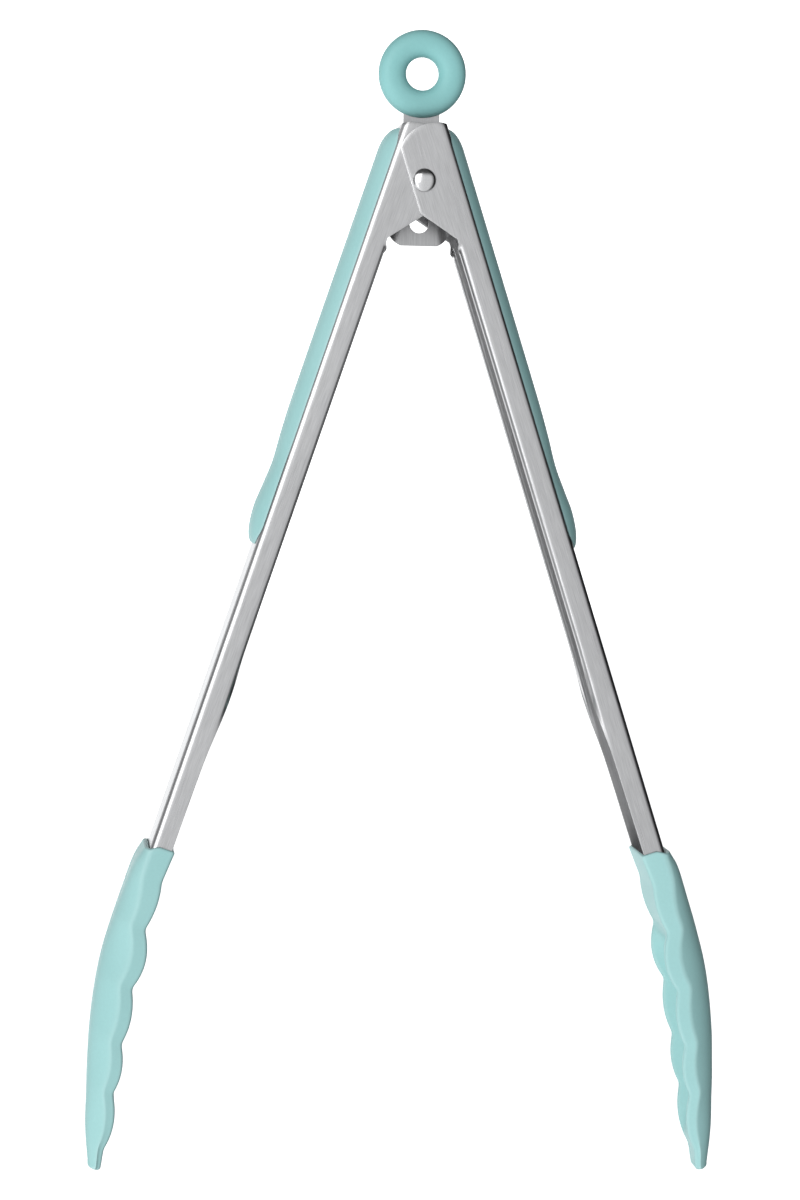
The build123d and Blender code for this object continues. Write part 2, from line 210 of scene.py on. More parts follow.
# Studio. Each band of the room is (from, to, strength before, strength after)
# along a direction given by its shares of x and y, or along x, y or z alone.
WORLD_COLOUR = (0.98, 0.99, 1.0, 1)
WORLD_RIGHTWARD = (0.87, 0.5)
WORLD_BACKWARD = (0.5, 0.87)
WORLD_SIDE_BAND = (0.05, 0.65, 0.86, 0.05)
WORLD_BEHIND_BAND = (0.0, 0.45, 1.0, 0.14)
WORLD_TOP_BAND = (0.3, 0.7, 1.0, 0.08)
WORLD_GAP_BAND = (-0.97, -0.82, 0.15, 1.0)
WORLD_LIFT_BAND = (-0.5, 0.15, 1.3, 1.0)
WORLD_GLOW_BAND = (0.7, 0.97, 0.0, 1.5)
# Each light is (offset from the middle of the tongs, size, power)
KEY_LIGHT = ((-0.83, -1.28, 0.48), (1.2, 1.2), 9)
LEFT_STRIP = ((-1.0, -1.2, -0.1), (0.3, 2.2), 4)
FLOOR_DROP = 0.1
FLOOR_RADIUS = 4.0
FLOOR_SIDES = 24
DOME_RADIUS = 4.2
STAGE_TONE = 0.9


def clamp(value, low, high):
    return max(low, min(high, value))


def lerp(a, b, t):
    return a + (b - a) * t


def ease(t):
    t = clamp(t, 0.0, 1.0)
    return t * t * (3 - 2 * t)


def smooth_curve(points, x):
    """A smooth line through (x, value) points, with the slope of its neighbours at each one."""
    last = len(points) - 1

    def slope(i):
        a, b = points[max(i - 1, 0)], points[min(i + 1, last)]
        return (b[1] - a[1]) / (b[0] - a[0])

    if x <= points[0][0]:
        return points[0][1]
    if x >= points[last][0]:
        return points[last][1]
    i = max(k for k in range(last) if points[k][0] <= x)
    (x0, y0), (x1, y1) = points[i], points[i + 1]
    t, width = (x - x0) / (x1 - x0), x1 - x0
    a, b = slope(i) * width, slope(i + 1) * width
    d = y1 - y0
    return y0 + t * a + t * t * (3 * d - 2 * a - b) + t**3 * (a + b - 2 * d)


def arc_through(a, b, c):
    """Centre and radius of the circle through three side points."""
    (ax, ay), (bx, by), (cx, cy) = a, b, c
    d = 2 * (ax * (by - cy) + bx * (cy - ay) + cx * (ay - by))
    a2, b2, c2 = ax * ax + ay * ay, bx * bx + by * by, cx * cx + cy * cy
    x = (a2 * (by - cy) + b2 * (cy - ay) + c2 * (ay - by)) / d
    y = (a2 * (cx - bx) + b2 * (ax - cx) + c2 * (bx - ax)) / d
    return x, y, math.hypot(ax - x, ay - y)


def resample(points, count):
    """count + 1 points evenly spaced along a polyline of 2-D points."""
    lengths = [0.0]
    for a, b in zip(points, points[1:]):
        lengths.append(lengths[-1] + math.hypot(b[0] - a[0], b[1] - a[1]))
    found, k = [], 0
    for step in range(count + 1):
        target = lengths[-1] * step / count
        while k < len(points) - 2 and lengths[k + 1] < target:
            k += 1
        t = (target - lengths[k]) / max(lengths[k + 1] - lengths[k], 1e-9)
        found.append(tuple(lerp(p, q, clamp(t, 0, 1)) for p, q in zip(points[k], points[k + 1])))
    return found


# ---------------------------------------------------------------- materials


def new_material(name):
    """A material with its shader and the object's own coordinates."""
    material = bpy.data.materials.new(name)
    material.use_nodes = True
    nodes = material.node_tree.nodes
    shader = nodes["Principled BSDF"]
    place = nodes.new("ShaderNodeTexCoord").outputs["Object"]
    return material, shader, place


def add_node(material, kind, inputs=(), **settings):
    node = material.node_tree.nodes.new(kind)
    for key, value in settings.items():
        setattr(node, key, value)
    for key, value in dict(inputs).items():
        if isinstance(value, bpy.types.NodeSocket):
            material.node_tree.links.new(value, node.inputs[key])
        else:
            node.inputs[key].default_value = value
    return node


def noise(material, place, scale, grain=(1, 1, 1), turn=0.0, detail=2.0, rough=0.5):
    """Noise of so many grains to the metre, each of a given shape and turned about Y."""
    mapping = add_node(
        material,
        "ShaderNodeMapping",
        {"Vector": place, "Scale": grain, "Rotation": (0, turn, 0)},
        vector_type="TEXTURE",
    )
    found = add_node(
        material,
        "ShaderNodeTexNoise",
        {"Vector": mapping.outputs["Vector"], "Scale": scale, "Detail": detail, "Roughness": rough},
    )
    return found.outputs["Fac"]


def ramp(material, value, low, high, colours):
    """Spread value's stretch from low to high over two colours."""
    found = add_node(material, "ShaderNodeValToRGB", {"Fac": value})
    found.color_ramp.elements[0].position = low
    found.color_ramp.elements[1].position = high
    found.color_ramp.elements[0].color = (*colours[0], 1)
    found.color_ramp.elements[1].color = (*colours[1], 1)
    return found.outputs["Color"]


def spread(material, value, low, high, to_low, to_high):
    """Map value from one range to another."""
    found = add_node(
        material,
        "ShaderNodeMapRange",
        {"Value": value, "From Min": low, "From Max": high, "To Min": to_low, "To Max": to_high},
    )
    return found.outputs["Result"]


def mix_colour(material, a, b, share, blend="MIX"):
    found = add_node(material, "ShaderNodeMix", data_type="RGBA", blend_type=blend)
    for key, value in ((0, share), (6, a), (7, b)):
        if isinstance(value, bpy.types.NodeSocket):
            material.node_tree.links.new(value, found.inputs[key])
        else:
            found.inputs[key].default_value = (*value, 1) if key else value
    return found.outputs[2]


def bump(material, shader, heights):
    """Chain bumps, each a (height, strength, distance in metres)."""
    normal = None
    for height, strength, distance in heights:
        inputs = {"Height": height, "Strength": strength, "Distance": distance}
        if normal:
            inputs["Normal"] = normal
        normal = add_node(material, "ShaderNodeBump", inputs).outputs["Normal"]
    material.node_tree.links.new(normal, shader.inputs["Normal"])


def link(material, value, socket):
    material.node_tree.links.new(value, socket)


def steel(name, tone, roughness, turn=0.0, streak=(1, 1, 40), grain=1.0):
    """Stainless steel with fine brushed streaks."""
    material, shader, place = new_material(name)
    shader.inputs["Metallic"].default_value = 1.0
    fine = noise(material, place, 7000, streak, turn, 3.0, 0.65)
    broad = noise(material, place, 1400, streak, turn, 2.0, 0.5)
    cloud = noise(material, place, 60, (1, 1, 2.5), turn, 2.0, 0.5)
    dark = tuple(c * (1 - 0.16 * grain) for c in tone)
    light = tuple(min(1.0, c * (1 + 0.12 * grain)) for c in tone)
    streaks = ramp(material, fine, 0.32, 0.68, (dark, light))
    clouds = ramp(material, cloud, 0.3, 0.7, ((0.94, 0.94, 0.94), (1, 1, 1)))
    base = mix_colour(material, streaks, clouds, 1.0, "MULTIPLY")
    edge = add_node(material, "ShaderNodeNewGeometry").outputs["Pointiness"]
    worn = spread(material, edge, 0.52, 0.62, 0.0, 0.1)
    link(material, mix_colour(material, base, (0.9, 0.9, 0.9), worn), shader.inputs["Base Color"])
    low, high = roughness
    link(material, spread(material, broad, 0.3, 0.7, low, high), shader.inputs["Roughness"])
    bump(material, shader, ((fine, 0.10 * grain, 0.00002), (broad, 0.06 * grain, 0.00004)))
    return material


def silicone(name, light, dark, roughness):
    """Matte moulded silicone: a fine satin skin, faint clouds, and a painted sheen highlight that
    paints its sharp edges paler.
    """
    material, shader, place = new_material(name)
    cloud = noise(material, place, 55, detail=3.0)
    speck = noise(material, place, 1400, detail=2.0)
    skin = noise(material, place, 5200, detail=3.0, rough=0.6)
    base = ramp(material, cloud, 0.3, 0.7, (dark, light))
    dust = ramp(material, speck, 0.35, 0.75, ((0.965, 0.97, 0.97), (1, 1, 1)))
    base = mix_colour(material, base, dust, 1.0, "MULTIPLY")
    # Painted highlight: sharp edges (by pointiness) are mixed towards a paler teal to stand in for
    # sheen and backlight.
    edge = add_node(material, "ShaderNodeNewGeometry").outputs["Pointiness"]
    pale = spread(material, edge, 0.505, 0.58, 0.0, 0.4)
    painted_sheen_colour = tuple(lerp(c, 1.0, 0.3) for c in light)
    link(material, mix_colour(material, base, painted_sheen_colour, pale), shader.inputs["Base Color"])
    low, high = roughness
    link(material, spread(material, cloud, 0.3, 0.7, low, high), shader.inputs["Roughness"])
    shader.inputs["Sheen Weight"].default_value = 0.04
    shader.inputs["Sheen Roughness"].default_value = 0.5
    shader.inputs["Specular IOR Level"].default_value = 0.35
    shader.inputs["IOR"].default_value = 1.41
    bump(material, shader, ((skin, 0.12, 0.00004), (speck, 0.08, 0.00008)))
    return material


def nylon(name, colour):
    """Moulded nylon: a faint mottle and an orange-peel skin."""
    material, shader, place = new_material(name)
    cloud = noise(material, place, 120, detail=3.0)
    skin = noise(material, place, 2600, detail=2.0)
    dark = tuple(c * 0.85 for c in colour)
    link(material, ramp(material, cloud, 0.3, 0.7, (dark, colour)), shader.inputs["Base Color"])
    link(material, spread(material, skin, 0.3, 0.7, 0.38, 0.55), shader.inputs["Roughness"])
    bump(material, shader, ((skin, 0.15, 0.00005),))
    return material


# ------------------------------------------------------------------- pieces


def settle(mesh, sharp):
    """Merge doubled points, turn every face outwards, and shade smooth but for sharp edges."""
    work = bmesh.new()
    work.from_mesh(mesh)
    bmesh.ops.remove_doubles(work, verts=work.verts, dist=0.004 * MM)
    bmesh.ops.dissolve_degenerate(work, edges=work.edges, dist=0.002 * MM)
    bmesh.ops.recalc_face_normals(work, faces=work.faces)
    work.to_mesh(mesh)
    work.free()
    mesh.shade_smooth()
    mesh.set_sharp_from_angle(angle=math.radians(sharp))


def make_object(name, points, faces, sharp=40.0):
    mesh = bpy.data.meshes.new(name)
    mesh.from_pydata([Vector(p) * MM for p in points], [], faces)
    settle(mesh, sharp)
    piece = bpy.data.objects.new(name, mesh)
    bpy.context.scene.collection.objects.link(piece)
    return piece


def bake_modifiers(piece, sharp):
    """Apply the piece's modifiers to its mesh."""
    bpy.context.view_layer.update()
    shape = piece.evaluated_get(bpy.context.evaluated_depsgraph_get())
    mesh = bpy.data.meshes.new_from_object(shape)
    piece.modifiers.clear()
    piece.data = mesh
    settle(mesh, sharp)


def grid_faces(rows, columns, wrap=False):
    """Quads over rows of equal length, round and round if wrap is true."""
    steps = columns if wrap else columns - 1
    faces = []
    for r in range(rows - 1):
        for c in range(steps):
            d = (c + 1) % columns
            here, below = r * columns, (r + 1) * columns
            faces.append((here + c, here + d, below + d, below + c))
    return faces


def folded_cap(first, columns):
    """Close a loop whose second half runs back beside its first half."""
    half = columns // 2
    faces = []
    for j in range(half):
        a, b = j, j + 1
        c, d = (columns - b) % columns, (columns - a) % columns
        face = [first + k for k in dict.fromkeys((a, b, c, d))]
        if len(face) > 2:
            faces.append(tuple(face))
    return faces


def loops_object(name, loops, sharp):
    """A skin over closed loops, its two ends closed across each loop."""
    columns = len(loops[0])
    points = [p for loop in loops for p in loop]
    faces = grid_faces(len(loops), columns, wrap=True)
    faces += folded_cap(0, columns) + folded_cap((len(loops) - 1) * columns, columns)
    return make_object(name, points, faces, sharp)


def finish_piece(piece, place, body, material, slot, *stands_for):
    piece.data.materials.clear()
    piece.data.materials.append(material)
    piece.data.transform(place)
    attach(piece, body)
    if stands_for:
        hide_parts(*stands_for)


PIVOT = Vector(JOINTS["left_hinge"]["pos_m"])


def arm_place(side):
    """The place of an arm's own frame, read off its tip pin."""
    low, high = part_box(f"{side}_tip_pin")
    pin = (low + high) / 2 - PIVOT
    sign = 1 if side == "right" else -1
    turn = math.atan2(sign * pin.x, -pin.z) - math.atan2(*TIP_PIN)
    to_pivot = Matrix.Translation(PIVOT)
    place = to_pivot @ Matrix.Rotation(-turn, 4, "Y") @ Matrix.Translation((0, sign * pin.y, 0))
    if side == "right":
        return place
    return to_pivot @ Matrix.Rotation(math.pi, 4, "Z") @ (Matrix.Translation(-PIVOT) @ place)


# --------------------------------------------------------------------- arms


def crown_along(out):
    """How far up the ear's crown reaches at a distance out."""
    x, y, radius = arc_through(*CROWN)
    return y - math.sqrt(max(radius**2 - (out - x) ** 2, 0.0))


def fold_at(along):
    """Where the lip's bend starts, its turn, and the sheet's length from there."""
    grown = ease((along - LIP_START) / (LIP_FULL - LIP_START))
    faded = ease((along - TAPER_START) / (LIP_GONE - TAPER_START))
    tapered = clamp((along - TAPER_START) / (TAPER_END - TAPER_START), 0, 1)
    ended = clamp((along - TAPER_END) / (TIP_MOUTH - TAPER_END), 0, 1)
    edge = lerp(LIP_EDGE, TAPER_EDGE, tapered) + ended * (END_EDGE - TAPER_EDGE)
    start = lerp(LIP_EDGE + LIP_RADIUS, edge + LIP_LEFT, faded)
    length = lerp(lerp(LIP_STUB, LIP_LENGTH, grown), LIP_LEFT, faded)
    return start, math.pi / 2 * grown * (1 - faded), length


def lip_point(start, turn, reach):
    """A point of the lip, reach away from the bend's start along the sheet."""
    bent = min(reach, LIP_RADIUS * turn)
    angle = bent / LIP_RADIUS
    rest = reach - bent
    out = start - LIP_RADIUS * math.sin(angle) - rest * math.cos(angle)
    across = ARM_HALF - LIP_RADIUS * (1 - math.cos(angle)) - rest * math.sin(angle)
    return out, across


def web_columns():
    """(out, across) of the web and its bend, from the middle to the flange."""
    flat = ARM_HALF - WEB_RADIUS
    found = [(WEB_FACE, flat * k / WEB_COLUMNS) for k in range(WEB_COLUMNS)]
    for k in range(CORNER_COLUMNS + 1):
        a = math.pi / 2 * k / CORNER_COLUMNS
        found.append((WEB_FACE - WEB_RADIUS * (1 - math.cos(a)), flat + WEB_RADIUS * math.sin(a)))
    return found


def shaft_half(along):
    """A row of the shaft, from the web's middle to the lip's edge."""
    start, turn, length = fold_at(along)
    row = [(out, across, along) for out, across in web_columns()]
    top = WEB_FACE - WEB_RADIUS
    for k in range(1, FLANGE_COLUMNS + 1):
        row.append((lerp(top, start, k / FLANGE_COLUMNS), ARM_HALF, along))
    for k in range(1, LIP_COLUMNS + 1):
        row.append((*lip_point(start, turn, length * k / LIP_COLUMNS), along))
    return row


def ear_edge_points():
    """Side points down the free edge of the ear."""
    found = []
    for a, b, steps in zip(EAR_EDGE, EAR_EDGE[1:], EAR_STEPS):
        found += [tuple(lerp(p, q, k / steps) for p, q in zip(a, b)) for k in range(steps)]
    return found


def ear_rows():
    """Rows of the arm's head, each from the web's middle to the ear's edge.

    The ear is blended between its crown, its free edge, the corner of the web
    and the top of the shaft.
    """
    foot = shaft_half(LIP_START)
    web = len(web_columns())
    flat = foot[web - 1:]
    count = len(flat) - 1
    corner, foot_out = flat[0][0], flat[-1][0]
    head_out, head_along = EAR_EDGE[0]
    top_along = crown_along(corner)
    rows = []
    for edge_out, edge_along in ear_edge_points():
        r = (edge_along - head_along) / (LIP_START - head_along)
        row = []
        for out, across in web_columns():
            row.append((out, across, lerp(crown_along(out), LIP_START, r)))
        left = lerp(top_along, LIP_START, r)
        for k in range(1, count + 1):
            q = k / count
            top_out = lerp(corner, head_out, q)
            out = (1 - r) * top_out + r * flat[k][0] + (1 - q) * corner + q * edge_out
            out -= (1 - r) * top_out + r * lerp(corner, foot_out, q)
            along = (1 - r) * crown_along(top_out) + r * LIP_START + (1 - q) * left + q * edge_along
            along -= (1 - r) * lerp(top_along, head_along, q) + r * LIP_START
            row.append((out, ARM_HALF, along))
        rows.append(row)
    return rows


def shaft_stations():
    """Distances along the arm, closer together where the sheet's edges change."""
    found = [lerp(LIP_START, LIP_FULL + 1, k / 12) for k in range(13)]
    for end, steps in ((TAPER_START, 26), (TAPER_END, 28), (ARM_END, 8)):
        start = found[-1]
        found += [lerp(start, end, k / steps) for k in range(1, steps + 1)]
    return found


def clear_of_other_arm(point):
    """The back ear stops short of the bend of the other arm's web."""
    away = Vector((-math.cos(2 * OPEN_TURN), 0, math.sin(2 * OPEN_TURN)))
    over = point.dot(away) - EAR_LIMIT
    return point - away * max(over, 0) if point.y > 0 else point


def arm_object(name):
    """The bent sheet, given its thickness inwards and a fine rounding of its edges."""
    rows = ear_rows() + [shaft_half(along) for along in shaft_stations()]
    points = []
    for row in rows:
        both = [(out, -across, along) for out, across, along in reversed(row[1:])] + row
        points += [clear_of_other_arm(Vector((x, y, -along))) for x, y, along in both]
    columns = 2 * len(rows[0]) - 1
    piece = make_object(name, points, grid_faces(len(rows), columns))
    on_web = Vector((WEB_FACE, 1, -60)) * MM
    nearest = min(piece.data.polygons, key=lambda face: (face.center - on_web).length)
    outward = nearest.normal.x > 0
    thicken = piece.modifiers.new("thickness", "SOLIDIFY")
    thicken.thickness = SHEET * MM
    thicken.offset = -1 if outward else 1
    thicken.use_even_offset = True
    edges = piece.modifiers.new("edges", "BEVEL")
    edges.width = EDGE_ROUND * MM
    edges.segments = 2
    edges.limit_method = "ANGLE"
    edges.angle_limit = math.radians(50)
    bake_modifiers(piece, 35)
    return piece


# --------------------------------------------------------------------- tips


def rim_line(along, share=1.0, blur=RIM_BLUR):
    """The scalloped rim, its notches a little softened; share fades the scallops."""
    total = 0.0
    for shift, weight in ((-2, 1), (-1, 2), (0, 3), (1, 2), (2, 1)):
        x = clamp(along + shift * blur, TIP_MOUTH, TIP_END)
        stations = RIM_NOTCHES + (RIM_END,)
        k = max(i for i in range(len(stations) - 1) if stations[i][0] <= x)
        (x0, y0), (x1, y1) = stations[k], stations[k + 1]
        t = (x - x0) / (x1 - x0)
        bulge = RIM_BUMPS[k] * 4 * t * (1 - t) if k < len(RIM_BUMPS) else 0.0
        total += weight * (lerp(y0, y1, t) - share * bulge)
    return total / 9


def tip_outer(along):
    """(out, across) of the outside, from the rim's crest to the middle of the back."""
    half = smooth_curve(TIP_HALF, along)
    rim = rim_line(along)
    back = smooth_curve(TIP_BACK, along)
    ridge = rim_line(along, RIDGE_SHARE, RIDGE_BLUR) + smooth_curve(TIP_BAND, along)
    ridge = min(ridge, back - 0.5)
    power = smooth_curve(TIP_FULLNESS, along)
    rim_half = half - BAND_TUCK
    found = []
    for k in range(RIM_COLUMNS):
        a = math.pi / 2 * k / RIM_COLUMNS
        rise, inset = RIM_ROUND * (1 - math.cos(a)), RIM_ROUND * (1 - math.sin(a))
        found.append((rim + rise, rim_half - inset))
    start = rim + RIM_ROUND
    for k in range(BAND_COLUMNS):
        t = k / BAND_COLUMNS
        found.append((lerp(start, ridge, t), lerp(rim_half, half, t)))
    dome = []
    for k in range(ARC_STEPS + 1):
        y = math.cos(math.pi / 2 * k / ARC_STEPS)
        dome.append((ridge + (back - ridge) * (1 - y**power), half * y))
    return found + resample(dome, DOME_COLUMNS)


def tip_inner(along):
    """(out, across) of the inside, from the rim's crest to the middle of the scoop's floor."""
    half = smooth_curve(TIP_HALF, along)
    rim = rim_line(along)
    back = smooth_curve(TIP_BACK, along)
    rim_half = half - BAND_TUCK
    start, deep, full, end = SCOOP
    depth = ease((along - start) / (deep - start)) * ease((end - along) / (end - full))
    floor = max(back - SCOOP_WALL - rim, 0.0) * depth
    inner_half = rim_half - RIM_ROUND - 0.9
    found = [(rim, rim_half - RIM_ROUND)]
    walls = [(rim, rim_half - RIM_ROUND)]
    for k in range(ARC_STEPS + 1):
        y = math.cos(math.pi / 2 * k / ARC_STEPS)
        walls.append((rim + SCOOP_LEDGE * depth + floor * (1 - y**4), inner_half * y))
    return found + resample(walls, RIM_COLUMNS + BAND_COLUMNS + DOME_COLUMNS)[1:]


def full_loop(outer, inner, along):
    """A closed loop from two half outlines, mirrored across the arm."""
    loop = [(out, across) for out, across in outer]
    loop += [(out, -across) for out, across in reversed(outer[:-1])]
    loop += [(out, -across) for out, across in inner[1:]]
    loop += [(out, across) for out, across in reversed(inner[1:-1])]
    return [Vector((out, across, -along)) for out, across in loop]


def mouth_drop(out, share):
    """How much further down the socket's edge lies towards the back."""
    return share * MOUTH_DROP * ease((out - MOUTH_DROP_FROM) / (SOCKET_HIGH - MOUTH_DROP_FROM))


def shrink(loop, amount, along):
    """Draw a loop in by amount all round, and set it at a place along the arm."""
    low = Vector(map(min, zip(*loop)))
    high = Vector(map(max, zip(*loop)))
    middle, size = (low + high) / 2, (high - low) / 2
    found = []
    for p in loop:
        x = middle.x + (p.x - middle.x) * (1 - amount / size.x)
        y = middle.y + (p.y - middle.y) * (1 - amount / size.y)
        found.append(Vector((x, y, -along)))
    return found


def socket_point(point, along):
    """The nearest point of the socket's wall, which follows the steel channel."""
    out = clamp(point.x, SOCKET_LOW, SOCKET_HIGH)
    across = clamp(point.y, -SOCKET_HALF, SOCKET_HALF)
    sign = 1 if across > 0 else -1
    centre = Vector((SOCKET_HIGH - SOCKET_CORNER, sign * (SOCKET_HALF - SOCKET_CORNER)))
    away = Vector((out, across)) - centre
    if away.x > 0 and away.y * sign > 0:
        away = Vector((point.x - centre.x, point.y - centre.y)).normalized()
        out, across = centre + away * SOCKET_CORNER
    return Vector((out, across, -along))


def tip_object(name):
    """A tip as one skin: up the socket's wall, over the mouth and down to the end."""
    start, stop = TIP_MOUTH + MOUTH_ROUND, TIP_END - END_ROUND
    stations = [lerp(start, stop, k / TIP_STEPS) for k in range(TIP_STEPS + 1)]
    loops = [full_loop(tip_outer(along), tip_inner(along), along) for along in stations]
    first, last = loops[0], loops[-1]
    mouth = []
    for k in range(4):
        a = math.pi / 2 * (1 - k / 4)
        drawn_in = MOUTH_ROUND * (1 - math.cos(a))
        mouth.append(shrink(first, drawn_in, stations[0] - MOUTH_ROUND * math.sin(a)))
    wall = [[socket_point(p, along) for p in first] for along in SOCKET_RINGS]
    for loop in wall[2:] + mouth + loops:
        for p in loop:
            p.z -= mouth_drop(p.x, ease(1 - (-p.z - TIP_MOUTH) / MOUTH_DROP_END))
    end = []
    for k in range(1, 6):
        a = math.pi / 2 * k / 5
        drawn_in = END_DRAWN_IN * END_ROUND * (1 - math.cos(a))
        end.append(shrink(last, drawn_in, stations[-1] + END_ROUND * math.sin(a)))
    return loops_object(name, wall + mouth + loops + end, sharp=50)


# -------------------------------------------------------------------- grips


def grip_height(along):
    """The outer face of the pad, above its rounded ends."""
    low, high = GRIP_FLAT
    if along < low:
        past = (low - along) / GRIP_TOP_ROUND
        return GRIP_TOP_FOOT + GRIP_TOP_RISE * math.sqrt(max(1 - past**2, 0.0))
    if along > high:
        past = (along - high) / GRIP_END_ROUND
        return GRIP_END_FOOT + GRIP_END_RISE * max(1 - past**2.2, 0.0) ** 0.55
    return smooth_curve(GRIP_PROFILE, along)


def web_surface(across):
    """How far out the arm's web and its bend lie at a distance across."""
    over = clamp(abs(across) - (ARM_HALF - WEB_RADIUS), 0.0, WEB_RADIUS)
    return WEB_FACE - WEB_RADIUS + math.sqrt(WEB_RADIUS**2 - over**2)


def grip_loop(along):
    """A section of the pad: one dome outside, the web's own bend inside."""
    top = grip_height(along)
    lift = GRIP_GAP + GRIP_LIFT * ease((along - GRIP_LIFT_FROM) / GRIP_LIFT_LENGTH)
    near = min(along + GRIP_TOP, GRIP_END - along)
    corner = GRIP_CORNER - min(near, GRIP_CORNER)
    inset = GRIP_CORNER - math.sqrt(GRIP_CORNER**2 - corner**2)
    half = GRIP_HALF - GRIP_CORNER_SHARE * inset
    edge = web_surface(half) + lift
    height = max(top - edge, 0.04)
    dome = []
    for k in range(GRIP_ARC_STEPS + 1):
        y = math.cos(math.pi / 2 * k / GRIP_ARC_STEPS)
        dome.append((edge + height * (1 - y**GRIP_FULLNESS), half * y))
    outer = resample(dome, GRIP_COLUMNS)
    inner = []
    for k in range(len(outer)):
        across = half * (1 - k / (len(outer) - 1))
        inner.append((min(web_surface(across) + lift, top - 0.01), across))
    return full_loop(outer, inner, along)


def grip_object(name):
    quarter = math.pi / 2
    stations = [
        -GRIP_TOP + GRIP_TOP_ROUND * (1 - math.cos(quarter * k / 12)) for k in range(13)
    ]
    stations += [lerp(*GRIP_FLAT, k / 64) for k in range(1, 65)]
    stations += [
        GRIP_FLAT[1] + GRIP_END_ROUND * math.sin(quarter * k / 14) for k in range(1, 15)
    ]
    return loops_object(name, [grip_loop(along) for along in stations], sharp=50)


# ----------------------------------------------------------- ring and rivet


def lathe(name, profile, turns, centre):
    """Turn a closed or open (radius, height) profile about Y."""
    points = []
    for radius, height in profile:
        for k in range(turns):
            a = 2 * math.pi * k / turns
            points.append(Vector((radius * math.cos(a), height, radius * math.sin(a))) + centre)
    return make_object(name, points, grid_faces(len(profile), turns, wrap=True), 35.0)


def ring_object(name):
    """A fat soft ring, a little flattened."""
    low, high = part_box("pull_ring")
    outside = (high.x - low.x) / 2 / MM
    thick = (high.y - low.y) / 2 / MM
    middle, half = (outside + RING_HOLE) / 2, (outside - RING_HOLE) / 2
    profile = []
    for k in range(RING_STEPS + 1):
        a = 2 * math.pi * k / RING_STEPS
        c, s = (math.copysign(abs(v) ** RING_POWER, v) for v in (math.cos(a), math.sin(a)))
        profile.append((middle + half * c, thick * s))
    return lathe(name, profile, RING_TURNS, (low + high) / 2 / MM)


def rivet_object(name):
    """A shank with a polished dome on each end."""
    low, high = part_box("pivot_rivet")
    radius = (high.x - low.x) / 2 / MM
    tip = (high.y - low.y) / 2 / MM
    seat = tip - RIVET_HEAD
    inset, raised = RIVET_CHAMFER
    profile = [(RIVET_SHANK, 0.0), (RIVET_SHANK, seat)]
    profile += [(radius - inset, seat), (radius, seat + raised), (radius, seat + RIVET_RIM)]
    for k in range(1, RIVET_STEPS + 1):
        a = math.pi / 2 * k / RIVET_STEPS
        profile.append((radius * math.cos(a), seat + RIVET_RIM + RIVET_DOME * math.sin(a) ** 0.95))
    whole = [(r, -h) for r, h in reversed(profile[1:])] + profile
    return lathe(name, whole, RIVET_TURNS, (low + high) / 2 / MM)


# ------------------------------------------------------------------- spring


def wire(name, path):
    """The spring's wire along a path of points, with rounded ends."""
    loops = []
    up = Vector((0, 1, 0))
    for k, point in enumerate(path):
        ahead = path[min(k + 1, len(path) - 1)] - path[max(k - 1, 0)]
        ahead.normalize()
        side = ahead.cross(up).normalized()
        top = side.cross(ahead).normalized()
        turns = [2 * math.pi * j / WIRE_SIDES for j in range(WIRE_SIDES)]
        loops.append(
            [point + WIRE_RADIUS * (side * math.cos(a) + top * math.sin(a)) for a in turns]
        )
    ends = []
    for loop, point, before in ((loops[0], path[0], path[1]), (loops[-1], path[-1], path[-2])):
        away = (point - before).normalized() * WIRE_RADIUS * 0.5
        ends.append([point + (p - point) * 0.6 + away for p in loop])
    loops = [ends[0]] + loops + [ends[1]]
    return loops_object(name, loops, sharp=60)


def spring_paths():
    """A coil on the pivot's sleeve, and a leg to each arm's web."""
    low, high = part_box("torsion_spring")
    reach = (high.x - PIVOT.x) / MM - WIRE_RADIUS
    drop = (low.z - PIVOT.z) / MM + WIRE_RADIUS
    front = low.y / MM + WIRE_RADIUS
    back = high.y / MM - WIRE_RADIUS
    start = math.atan2(drop, reach) + math.acos(COIL_RADIUS / math.hypot(reach, drop))
    turned = 2 * math.pi * COIL_TURNS + math.pi - 2 * start
    centre = PIVOT / MM
    coil = []
    for k in range(COIL_STEPS + 1):
        t = k / COIL_STEPS
        a = start + turned * t
        x, z = COIL_RADIUS * math.cos(a), COIL_RADIUS * math.sin(a)
        coil.append(centre + Vector((x, lerp(back, front, t), z)))
    legs = {}
    for side, sign, level in (("right", 1, back), ("left", -1, front)):
        x, z = sign * COIL_RADIUS * math.cos(start), COIL_RADIUS * math.sin(start)
        root = centre + Vector((x, level, z))
        foot = centre + Vector((sign * reach, level, drop))
        legs[side] = [root.lerp(foot, k / LEG_STEPS) for k in range(LEG_STEPS + 1)]
    return coil, legs


# ------------------------------------------------------------------- studio


